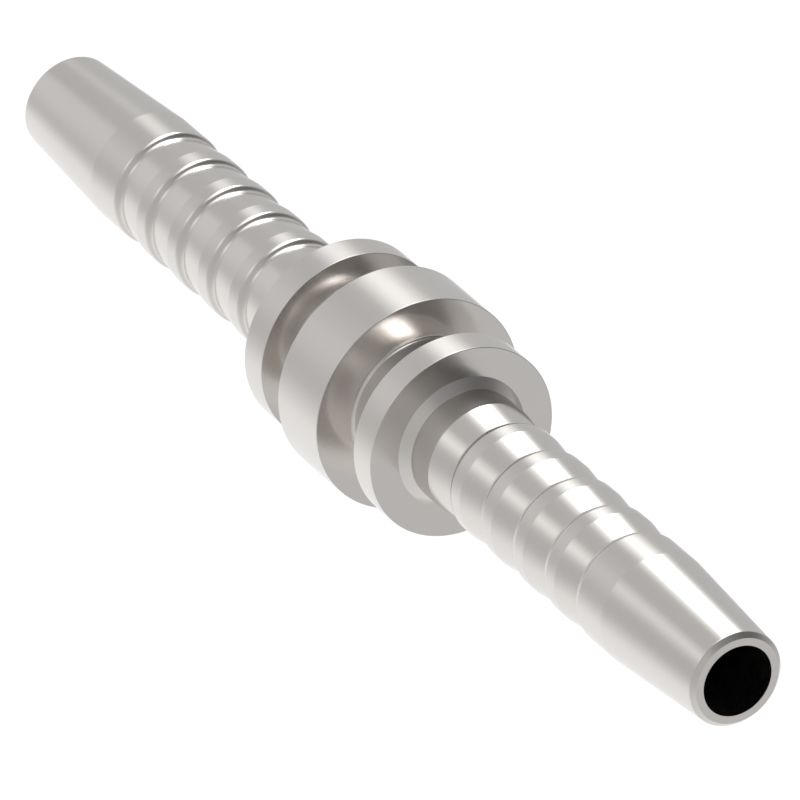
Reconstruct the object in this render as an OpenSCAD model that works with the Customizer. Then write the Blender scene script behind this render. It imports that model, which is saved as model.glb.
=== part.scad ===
// Double ended hose nipple, turned from one bar: two barbed tails, each behind a flange, and a
// collar between them. It stands on one end, with its axis on +Z and its origin in that end face.

/* [Bore] */
// Diameter of the through bore
bore_d = 4.3; // [3:0.1:4.9]

/* [Tail] */
// Length of each tail, from its flange's face to its end
tail_l = 30.1; // [26:0.1:40]
// Diameter over the barbs and of the plain neck
tail_d = 7; // [6.6:0.05:8]
// Width of the 45 degree bevel where the neck meets the flange
neck_bevel = 0.52; // [0.2:0.02:0.9]
// Length of the long cone that leads the hose on
nose_l = 8.85; // [5:0.05:9.5]
// Diameter at which that cone would meet the end face
nose_d = 5.75; // [5.6:0.05:6.2]
// Width of the 45 degree bevel around the end face
nose_bevel = 0.28; // [0.1:0.02:0.3]
// Radius where the cone turns into that bevel
nose_r = 0.15; // [0.05:0.05:0.2]

/* [Barbs] */
// Number of barbs on each tail, as far as they have room
barb_n = 5; // [2:1:5]
// Distance from one barb's edge to the next
barb_pitch = 3.45; // [3:0.05:3.6]
// Distance from the flange's face to the nearest barb's edge, measured as if it were sharp
barb_start = 4.79; // [4.3:0.01:5]
// Length of the cylindrical land on top of a barb, from that edge to the cone
barb_land = 1.04; // [0.6:0.02:1.4]
// Height of a barb above its root, measured as if the root were sharp
barb_h = 0.27; // [0.26:0.01:0.4]
// Angle between the slope that holds the hose and the axis
barb_back_a = 45; // [30:1:46]
// Radius in the root in front of that slope
barb_root_r = 0.4; // [0.1:0.05:0.4]
// Radius on the edge above it
barb_edge_r = 0.35; // [0.1:0.05:0.35]

/* [Flanges] */
// Diameter of both flanges
flange_d = 11.6; // [10.6:0.1:14]
// Width of each flange
flange_w = 1.87; // [1.2:0.01:3]

/* [Collar] */
// Diameter of the collar between the flanges
collar_d = 12.9; // [11:0.1:16]
// Width of the collar
collar_w = 4.27; // [2:0.01:8]

/* [Grooves] */
// Width of the groove on each side of the collar, at its mouth
groove_w = 2.98; // [1.8:0.02:5]
// Diameter at the bottom of those grooves
groove_d = 8.1; // [7:0.1:9.4]
// Angle by which their walls lean outwards
groove_wall_a = 4.5; // [0:0.5:8]
// Radius in their corners
groove_r = 0.25; // [0.1:0.05:0.4]

/* [Hidden] */

$fn = 96;
tail_r = tail_d / 2;
collar_half = collar_w / 2;
flange_in = collar_half + groove_w;
flange_face = flange_in + flange_w;
half_l = flange_face + tail_l;

// Room by which a shape reaches past what it cuts or joins
over = 0.05;

// Barbs that fit between the neck and the nose
barb_room = tail_l - nose_l - barb_start - barb_edge_r;
barb_count = min(barb_n, floor(barb_room / barb_pitch) + 1);

// Length of a barb's back slope along the axis, and the drop of its cone in degrees
back_run = barb_h / tan(barb_back_a);
cone_a = atan(barb_h / (barb_pitch - barb_land - back_run));

// Drop of the nose in degrees, and the radius at which it turns into its bevel
nose_a = atan((tail_r - nose_d / 2) / nose_l);
bevel_x = nose_d / 2 + nose_bevel * tan(nose_a);

// Radius at the bottom of the grooves, and the feet of their walls
groove_bottom = groove_d / 2;
collar_foot = collar_half + (collar_d / 2 - groove_bottom) * tan(groove_wall_a);
flange_foot = flange_in - (flange_d / 2 - groove_bottom) * tan(groove_wall_a);

// What lies between a sharp corner at the origin and a round of radius r, where the corner's sides leave
// at the angles a and b. It is added to fill an inner corner and taken away to round an outer one.
module corner(r, a, b) {
    half = (b - a) / 2;
    middle = [cos((a + b) / 2), sin((a + b) / 2)];
    difference() {
        polygon([
            -over * middle,
            r / tan(half) * [cos(a), sin(a)],
            r / sin(half) * middle,
            r / tan(half) * [cos(b), sin(b)],
        ]);
        translate(r / sin(half) * middle)
            circle(r);
    }
}

// Tail: X is the radius and Y the distance from the flange's face

// Plain tail before its barbs are cut: bevelled root, neck, long cone and bevelled end
module tail_blank() {
    polygon([
        [0, 0],
        [tail_r + neck_bevel, 0],
        [tail_r, neck_bevel],
        [tail_r, tail_l - nose_l],
        [bevel_x, tail_l - nose_bevel],
        [bevel_x - nose_bevel, tail_l],
        [0, tail_l],
    ]);
}

// What is cut away in front of a barb whose sharp edge is the origin: down its cone and up its back slope
module barb_groove() {
    polygon([
        [over, barb_land - barb_pitch - over / tan(cone_a)],
        [-barb_h, -back_run],
        [over, over / tan(barb_back_a)],
    ]);
}

// Puts a shape at the sharp edge of every barb
module at_barbs() {
    for (i = [0 : barb_count - 1])
        translate([tail_r, barb_start + i * barb_pitch])
            children();
}

module tail() {
    difference() {
        union() {
            difference() {
                tail_blank();
                at_barbs()
                    barb_groove();
            }
            at_barbs()
                translate([-barb_h, -back_run])
                    corner(barb_root_r, cone_a - 90, 90 - barb_back_a);
        }
        at_barbs()
            corner(barb_edge_r, 90, 270 - barb_back_a);
        translate([bevel_x, tail_l - nose_bevel])
            corner(nose_r, 135, 270 + nose_a);
    }
}

// Body: X is the radius and Y the distance from the middle of the collar

module body() {
    polygon([
        [0, 0],
        [collar_d / 2, 0],
        [collar_d / 2, collar_half],
        [groove_bottom, collar_foot],
        [groove_bottom, flange_foot],
        [flange_d / 2, flange_in],
        [flange_d / 2, flange_face],
        [0, flange_face],
    ]);
    translate([groove_bottom, collar_foot])
        corner(groove_r, -groove_wall_a, 90);
    translate([groove_bottom, flange_foot])
        corner(groove_r, -90, groove_wall_a);
}

// One half of the profile, from the middle of the collar to one end
module half_profile() {
    difference() {
        union() {
            body();
            translate([0, flange_face])
                tail();
        }
        square([bore_d / 2, half_l + over]);
    }
}

module hose_nipple() {
    color("silver")
        translate([0, 0, half_l])
            rotate_extrude()
                union() {
                    half_profile();
                    mirror([0, 1])
                        half_profile();
                }
}

hose_nipple();
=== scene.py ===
"""Looks of the hose nipple: turned stainless steel, standing on one end in a bright studio.

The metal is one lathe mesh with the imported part's profile, but far finer round the axis and with the small
edge radii that a turned part has. Only the walls of its grooves lean a little differently. Lengths of the
profile and the camera are in millimetres.
"""

import math

import bpy
from mathutils import Matrix, Vector


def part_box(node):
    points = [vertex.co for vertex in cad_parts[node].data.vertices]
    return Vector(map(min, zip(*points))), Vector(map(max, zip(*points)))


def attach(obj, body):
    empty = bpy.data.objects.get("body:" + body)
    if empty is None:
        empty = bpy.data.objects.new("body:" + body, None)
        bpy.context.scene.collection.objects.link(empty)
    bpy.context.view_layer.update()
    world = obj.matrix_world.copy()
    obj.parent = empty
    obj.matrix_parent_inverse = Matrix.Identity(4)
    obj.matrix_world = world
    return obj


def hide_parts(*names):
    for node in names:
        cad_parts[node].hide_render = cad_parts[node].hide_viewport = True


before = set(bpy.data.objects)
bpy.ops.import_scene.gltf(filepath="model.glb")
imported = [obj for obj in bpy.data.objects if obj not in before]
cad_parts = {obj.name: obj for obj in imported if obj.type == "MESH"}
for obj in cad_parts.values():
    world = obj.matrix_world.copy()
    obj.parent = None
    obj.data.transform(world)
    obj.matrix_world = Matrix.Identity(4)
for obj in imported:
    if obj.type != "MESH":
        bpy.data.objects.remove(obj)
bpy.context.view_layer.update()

# Profile
MM = 0.001
LOW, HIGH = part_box("hose_nipple")
HALF_L = (HIGH.z - LOW.z) / MM / 2
BORE_R = 2.15
TAIL_R = 3.5
TAIL_L = 30.1
NOSE_L = 8.85
NOSE_END_R = 2.875
NOSE_BEVEL = 0.28
NOSE_ROUND = 0.15
BARBS = 5
BARB_PITCH = 3.45
BARB_START = 4.79
BARB_LAND = 1.04
BARB_H = 0.27
BARB_BACK = math.radians(45)
BARB_ROOT_ROUND = 0.4
BARB_EDGE_ROUND = 0.35
NECK_BEVEL = 0.52
FLANGE_R = 5.8
FLANGE_W = 1.87
COLLAR_R = 6.45
COLLAR_HALF = 2.135
GROOVE_R = 4.05
GROOVE_ROUND = 0.25
FLANGE_LEAN = math.radians(10)
EDGE_ROUND = 0.04
SHARP_ROUND = 0.01

FLANGE_FACE = HALF_L - TAIL_L
FLANGE_IN = FLANGE_FACE - FLANGE_W

# Mesh: steps round the axis, and the widest step round a corner
SEGMENTS = 256
ARC_STEP = math.radians(18)

# Camera
ELEVATION = math.radians(48.59)
ROLL = math.radians(130.89)
LENS = 1700
SENSOR = 36
FRAME_WIDTH = 44.285
MIDDLE_RIGHT, MIDDLE_UP = -0.101, 0.710
CLIP_FACTOR = 10

# Steel and floor: the darker and lighter end of each, as colour, roughness or grey. Lengths are in metres.
STEEL_DARK, STEEL_LIGHT = (0.710, 0.686, 0.662, 1), (0.740, 0.714, 0.689, 1)
STEEL_GLOSSY, STEEL_SATIN = 0.15, 0.21
RINGS_SCALE, RINGS_DETAIL = 9000.0, 2.0
CLOUD_SCALE, CLOUD_DETAIL = 260.0, 3.0
RELIEF, RELIEF_STRENGTH = 0.00002, 0.02
FLOOR_DARK, FLOOR_LIGHT = 0.29, 0.31
FLOOR_GRAIN = 40.0
FLOOR_GLOW = 0.87
FLOOR_SIZE = 3
WHITE = (1, 1, 1, 1)

# Studio, which the metal mirrors: a pale tent with forms of light and shade on it. A form has a strength and
# its limits in azimuth from the camera's side and in elevation, both in degrees. Two limits say where it is
# off and on. Four say where it is off, on, still on and off again. Where the rise and the fall overlap, it
# nowhere has its full strength, and a limit out of reach, such as -222, only sets how fast it fades.
TENT = 0.58
WALLS = 0.43
WALLS_RIGHT, WALLS_BACK = (51, 103), (-159, -171)
WALLS_HEIGHT = (80, -55)

# Light on the tent: deep below the camera, an upright strip on the camera's side, and the haze around it
FRONT = 0.165
FRONT_WIDTH, FRONT_HEIGHT = (-32, -10, 12, 82), (-44, -56)
STRIP = 0.66
STRIP_WIDTH, STRIP_HEIGHT = (-7, 15, 11, 33), (-49, -30, -60, 40)
HAZE = 0.06
HAZE_WIDTH, HAZE_HEIGHT = (-4, -2, 28, 41), (-52, -47, -13, -5)

# Shade on it: over the whole upper left, darker from the horizon up, and darkest beside the softbox
SHADE = 0.55
SHADE_WIDTH, SHADE_HEIGHT = (-175, -158, -222, 116), (-4, 47)
DIM = 0.8
DIM_WIDTH, DIM_HEIGHT = (-178, -76, -164, 59), (-19, 3)
PIT = 0.24
PIT_WIDTH, PIT_HEIGHT = (-125, -106, -96, -50), (-2, 12, 38, 60)

# Light on top of that shade, from a little below the camera upwards
LIFT = 0.1
LIFT_WIDTH, LIFT_HEIGHT = (-28, 0, 5, 48), (15, 38)

# Softbox: an upright panel whose lit part leans to the right and falls away at its lower left. Its lengths
# are in metres across the panel and up from the middle of the part, and its core is brighter.
BOX_AZIMUTH = -65
BOX_DISTANCE = 0.273
BOX_LEFT, BOX_RIGHT = -0.22, 0.46
BOX_BOTTOM, BOX_TOP = -0.63, 0.13
BOX_RADIANCE = 3.6
BOX_LEAN = 0.74
BOX_LEAN_WIDTH = (-0.035, 0.058, -0.038, 0.335)
BOX_FALL = 1.06
BOX_FALL_FADE = (-0.75, -0.215)
BOX_LEFT_FADE, BOX_TOP_FADE = (-0.205, 0.1), (0.132, -0.086)
CORE = 1.1
CORE_WIDTH, CORE_HEIGHT = (-0.115, -0.05, 0.03, 0.09), (-0.24, -0.18, -0.13, -0.08)


def half_corners():
    """Corners (radius, height, round) of the upper half's outline, from the collar's edge to the bore's."""
    first_cone = FLANGE_FACE + BARB_START - BARB_PITCH + BARB_LAND
    nose_drop = (TAIL_R - NOSE_END_R) / NOSE_L
    bevel_r = NOSE_END_R + NOSE_BEVEL * nose_drop
    corners = [
        (COLLAR_R, COLLAR_HALF, EDGE_ROUND),
        (GROOVE_R, COLLAR_HALF, GROOVE_ROUND),
        (GROOVE_R, FLANGE_IN - (FLANGE_R - GROOVE_R) * math.tan(FLANGE_LEAN), GROOVE_ROUND),
        (FLANGE_R, FLANGE_IN, EDGE_ROUND),
        (FLANGE_R, FLANGE_FACE, EDGE_ROUND),
        (TAIL_R + NECK_BEVEL, FLANGE_FACE, SHARP_ROUND),
        (TAIL_R, FLANGE_FACE + NECK_BEVEL, SHARP_ROUND),
        (TAIL_R, first_cone, SHARP_ROUND),
    ]
    for i in range(BARBS):
        edge = FLANGE_FACE + BARB_START + i * BARB_PITCH
        corners += [
            (TAIL_R - BARB_H, edge - BARB_H / math.tan(BARB_BACK), BARB_ROOT_ROUND),
            (TAIL_R, edge, BARB_EDGE_ROUND),
        ]
        if i < BARBS - 1:
            corners.append((TAIL_R, edge + BARB_LAND, SHARP_ROUND))
    return corners + [
        (TAIL_R, HALF_L - NOSE_L, SHARP_ROUND),
        (bevel_r, HALF_L - NOSE_BEVEL, NOSE_ROUND),
        (bevel_r - NOSE_BEVEL, HALF_L, SHARP_ROUND),
        (BORE_R, HALF_L, SHARP_ROUND),
    ]


def outline():
    """Closed outline of one side of the section: corners from the collar up, down the bore and back."""
    upper = half_corners()
    lower = [(r, -y, round_r) for r, y, round_r in reversed(upper)]
    return upper + lower


def rounded(corners):
    """Points and outward normals along a closed outline with every corner rounded."""
    points, normals = [], []
    for i, (r, y, round_r) in enumerate(corners):
        here = Vector((r, y))
        into = (here - Vector(corners[i - 1][:2])).normalized()
        out = (Vector(corners[(i + 1) % len(corners)][:2]) - here).normalized()
        turn = math.atan2(into.x * out.y - into.y * out.x, into.dot(out))
        setback = round_r * math.tan(abs(turn) / 2)
        side = math.copysign(1, turn)
        start = here - into * setback
        to_centre = Vector((-into.y, into.x)) * side
        centre = start + to_centre * round_r
        steps = max(2, math.ceil(abs(turn) / ARC_STEP))
        for k in range(steps + 1):
            angle = turn * k / steps
            spoke = Matrix.Rotation(angle, 2) @ -to_centre
            points.append(centre + spoke * round_r)
            normals.append(spoke * side)
    return points, normals


def lathe(name):
    """Mesh object of the rounded outline, turned round the axis, with exact normals."""
    points, normals = rounded(outline())
    count = len(points)
    verts, vert_normals, faces = [], [], []
    for s in range(SEGMENTS):
        angle = 2 * math.pi * s / SEGMENTS
        c, sn = math.cos(angle), math.sin(angle)
        verts += [(p.x * c * MM, p.x * sn * MM, (p.y + HALF_L) * MM) for p in points]
        vert_normals += [(n.x * c, n.x * sn, n.y) for n in normals]
        here, following = s * count, (s + 1) % SEGMENTS * count
        for k in range(count):
            m = (k + 1) % count
            faces.append((here + k, following + k, following + m, here + m))
    mesh = bpy.data.meshes.new(name)
    mesh.from_pydata(verts, [], faces)
    mesh.shade_smooth()
    mesh.normals_split_custom_set_from_vertices(vert_normals)
    piece = bpy.data.objects.new(name, mesh)
    bpy.context.scene.collection.objects.link(piece)
    return piece


class Nodes:
    """Short calls for building a node tree."""

    def __init__(self, tree):
        self.tree = tree
        tree.nodes.clear()

    def add(self, kind, inputs=None, **settings):
        node = self.tree.nodes.new(kind)
        for key, value in settings.items():
            setattr(node, key, value)
        for key, value in (inputs or {}).items():
            self.put(node.inputs[key], value)
        return node

    def put(self, socket, value):
        if isinstance(value, bpy.types.NodeSocket):
            self.tree.links.new(value, socket)
        else:
            socket.default_value = value

    def math(self, operation, *values, clamp=False):
        node = self.add("ShaderNodeMath", operation=operation, use_clamp=clamp)
        for socket, value in zip(node.inputs, values):
            self.put(socket, value)
        return node.outputs[0]

    def noise(self, place, scale, detail):
        return self.add("ShaderNodeTexNoise", {"Vector": place, "Scale": scale, "Detail": detail}).outputs[0]

    def mix(self, factor, first, second):
        """First value or colour where the factor is 0, second where it is 1."""
        kind = "RGBA" if isinstance(first, tuple) else "FLOAT"
        node = self.add("ShaderNodeMix", {"Factor": factor}, data_type=kind)
        a, b = (socket for socket in node.inputs if socket.enabled and socket.name in ("A", "B"))
        self.put(a, first)
        self.put(b, second)
        return next(socket for socket in node.outputs if socket.enabled)

    def spread(self, value, low, high):
        """A value from 0 to 1 spread from low to high."""
        return self.add("ShaderNodeMapRange", {"Value": value, "To Min": low, "To Max": high}).outputs[0]

    def smooth(self, value, off, on):
        """0 where value is past off, 1 where it is past on, smooth between them."""
        low, high = min(off, on), max(off, on)
        node = self.add("ShaderNodeMapRange", {"Value": value, "From Min": low, "From Max": high})
        node.interpolation_type = "SMOOTHSTEP"
        return node.outputs[0] if on > off else self.math("SUBTRACT", 1.0, node.outputs[0])

    def ramp(self, value, limits):
        """From 0 to 1 as the limits say: off and on, and where there are four, still on and off again."""
        rise = self.smooth(value, *limits[:2])
        if len(limits) == 2:
            return rise
        still_on, off_again = limits[2:]
        return self.math("MULTIPLY", rise, self.smooth(value, off_again, still_on))

    def form(self, x, y, width, height):
        """1 inside both limits and 0 outside them."""
        return self.math("MULTIPLY", self.ramp(x, width), self.ramp(y, height))

    def lighten(self, light, form, strength):
        return self.math("ADD", light, self.math("MULTIPLY", form, strength))

    def darken(self, light, form, strength):
        return self.math("MULTIPLY", light, self.math("SUBTRACT", 1.0, self.math("MULTIPLY", form, strength)))


def steel():
    """Fine turned stainless steel: faint rings round the axis in gloss and relief, a faint cloud in tone."""
    mat = bpy.data.materials.new("steel")
    mat.use_nodes = True
    n = Nodes(mat.node_tree)
    place = n.add("ShaderNodeTexCoord").outputs["Object"]
    xyz = n.add("ShaderNodeSeparateXYZ", {"Vector": place}).outputs
    radius = n.math("SQRT", n.math("ADD", n.math("POWER", xyz["X"], 2.0), n.math("POWER", xyz["Y"], 2.0)))
    ring = n.add("ShaderNodeCombineXYZ", {"X": radius, "Y": xyz["Z"]}).outputs[0]
    rings = n.noise(ring, RINGS_SCALE, RINGS_DETAIL)
    cloud = n.noise(place, CLOUD_SCALE, CLOUD_DETAIL)
    tone = n.mix(cloud, STEEL_DARK, STEEL_LIGHT)
    rough = n.spread(rings, STEEL_GLOSSY, STEEL_SATIN)
    relief = {"Height": rings, "Strength": RELIEF_STRENGTH, "Distance": RELIEF}
    bump = n.add("ShaderNodeBump", relief).outputs[0]
    looks = {"Base Color": tone, "Roughness": rough, "Metallic": 1.0, "Normal": bump}
    shader = n.add("ShaderNodeBsdfPrincipled", looks)
    n.add("ShaderNodeOutputMaterial", {"Surface": shader.outputs[0]})
    return mat


def floor_material():
    """Pale floor that shows white to the camera, apart from the object's soft shadow."""
    mat = bpy.data.materials.new("floor")
    mat.use_nodes = True
    n = Nodes(mat.node_tree)
    grain = n.add("ShaderNodeTexNoise", {"Scale": FLOOR_GRAIN}).outputs[0]
    tone = n.spread(grain, FLOOR_DARK, FLOOR_LIGHT)
    matt = n.add("ShaderNodeBsdfDiffuse", {"Color": tone})
    white = n.add("ShaderNodeEmission", {"Color": WHITE, "Strength": FLOOR_GLOW})
    both = n.add("ShaderNodeAddShader", {0: matt.outputs[0], 1: white.outputs[0]})
    n.add("ShaderNodeOutputMaterial", {"Surface": both.outputs[0]})
    return mat


def make_floor():
    """Floor under the part. The metal doesn't mirror it, and light from below passes through it."""
    bpy.ops.mesh.primitive_plane_add(size=FLOOR_SIZE, location=(0, 0, LOW.z))
    floor = bpy.context.object
    floor.name = "floor"
    floor.data.materials.append(floor_material())
    floor.visible_glossy = False
    floor.visible_shadow = False


def sky():
    """World: white to the camera, the tent with its forms to the metal, and plain light to the floor."""
    world = bpy.data.worlds.new("studio")
    bpy.context.scene.world = world
    world.use_nodes = True
    n = Nodes(world.node_tree)
    way = n.add("ShaderNodeTexCoord").outputs["Generated"]
    xyz = n.add("ShaderNodeSeparateXYZ", {"Vector": way}).outputs
    across = n.math("ARCTAN2", xyz["X"], n.math("MULTIPLY", xyz["Y"], -1.0))
    azimuth = n.math("DEGREES", across)
    elevation = n.math("DEGREES", n.math("ARCSINE", xyz["Z"]))

    walls = n.math("ADD", n.ramp(azimuth, WALLS_RIGHT), n.ramp(azimuth, WALLS_BACK))
    walls = n.math("MULTIPLY", walls, n.ramp(elevation, WALLS_HEIGHT))
    light = n.lighten(TENT, walls, WALLS)
    light = n.lighten(light, n.form(azimuth, elevation, FRONT_WIDTH, FRONT_HEIGHT), FRONT)
    light = n.lighten(light, n.form(azimuth, elevation, STRIP_WIDTH, STRIP_HEIGHT), STRIP)
    light = n.lighten(light, n.form(azimuth, elevation, HAZE_WIDTH, HAZE_HEIGHT), HAZE)
    light = n.darken(light, n.form(azimuth, elevation, SHADE_WIDTH, SHADE_HEIGHT), SHADE)
    light = n.darken(light, n.form(azimuth, elevation, DIM_WIDTH, DIM_HEIGHT), DIM)
    light = n.darken(light, n.form(azimuth, elevation, PIT_WIDTH, PIT_HEIGHT), PIT)
    light = n.lighten(light, n.form(azimuth, elevation, LIFT_WIDTH, LIFT_HEIGHT), LIFT)

    path = n.add("ShaderNodeLightPath").outputs
    mirrored = n.math("ADD", path["Is Glossy Ray"], path["Is Transmission Ray"])
    seen = n.math("ADD", path["Is Camera Ray"], mirrored, clamp=True)
    backdrop = n.mix(path["Is Camera Ray"], light, 1.0)
    strength = n.mix(seen, TENT, backdrop)
    back = n.add("ShaderNodeBackground", {"Color": WHITE, "Strength": strength})
    n.add("ShaderNodeOutputWorld", {"Surface": back.outputs[0]})


def softbox():
    """Area lamp that faces the part. The metal mirrors its lit part as a streak along the tails."""
    side = math.radians(BOX_AZIMUTH)
    across, up = Vector((math.cos(side), math.sin(side), 0)), Vector((0, 0, 1))
    way = across.cross(up)
    lamp = bpy.data.lights.new("softbox", "AREA")
    lamp.shape = "RECTANGLE"
    lamp.size, lamp.size_y = BOX_RIGHT - BOX_LEFT, BOX_TOP - BOX_BOTTOM
    lamp.energy = BOX_RADIANCE * math.pi * lamp.size * lamp.size_y
    holder = bpy.data.objects.new("softbox", lamp)
    middle = across * (BOX_LEFT + BOX_RIGHT) / 2 + up * (HALF_L * MM + (BOX_TOP + BOX_BOTTOM) / 2)
    turned = Matrix((across, up, way)).transposed().to_4x4()
    holder.matrix_world = Matrix.Translation(way * BOX_DISTANCE + middle) @ turned
    holder.visible_camera = False
    bpy.context.scene.collection.objects.link(holder)

    lamp.use_nodes = True
    n = Nodes(lamp.node_tree)
    spot = n.add("ShaderNodeNewGeometry").outputs["Position"]
    x = n.add("ShaderNodeVectorMath", {0: spot, 1: across}, operation="DOT_PRODUCT").outputs["Value"]
    z = n.math("SUBTRACT", n.add("ShaderNodeSeparateXYZ", {"Vector": spot}).outputs["Z"], HALF_L * MM)
    leaning = n.math("SUBTRACT", x, n.math("MULTIPLY", z, BOX_LEAN))
    falling = n.math("ADD", z, n.math("MULTIPLY", x, BOX_FALL))
    lit = n.form(leaning, falling, BOX_LEAN_WIDTH, BOX_FALL_FADE)
    lit = n.math("MULTIPLY", lit, n.form(x, z, BOX_LEFT_FADE, BOX_TOP_FADE))
    lit = n.lighten(lit, n.form(x, z, CORE_WIDTH, CORE_HEIGHT), CORE)
    glow = n.add("ShaderNodeEmission", {"Color": WHITE, "Strength": lit})
    n.add("ShaderNodeOutputLight", {"Surface": glow.outputs[0]})


def make_camera():
    """Camera at the photograph's angle, far away with a long lens: the photograph shows no perspective."""
    back = Vector((0, -math.cos(ELEVATION), math.sin(ELEVATION)))
    level_right, level_up = Vector((1, 0, 0)), Vector((0, math.sin(ELEVATION), math.cos(ELEVATION)))
    right = level_right * math.cos(ROLL) + level_up * math.sin(ROLL)
    up = level_up * math.cos(ROLL) - level_right * math.sin(ROLL)
    middle = Vector((0, 0, HALF_L))
    target = (middle - right * MIDDLE_RIGHT - up * MIDDLE_UP) * MM
    data = bpy.data.cameras.new("camera")
    data.lens, data.sensor_width = LENS, SENSOR
    distance = FRAME_WIDTH * MM * LENS / SENSOR
    data.clip_start, data.clip_end = distance / CLIP_FACTOR, distance * CLIP_FACTOR
    camera = bpy.data.objects.new("camera", data)
    turned = Matrix((right, up, back)).transposed().to_4x4()
    camera.matrix_world = Matrix.Translation(target + back * distance) @ turned
    bpy.context.scene.collection.objects.link(camera)
    bpy.context.scene.camera = camera


make_camera()
nipple = lathe("turned_nipple")
nipple.data.materials.append(steel())
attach(nipple, "root")
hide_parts("hose_nipple")
make_floor()
sky()
softbox()
bpy.context.scene.view_settings.view_transform = "Standard"
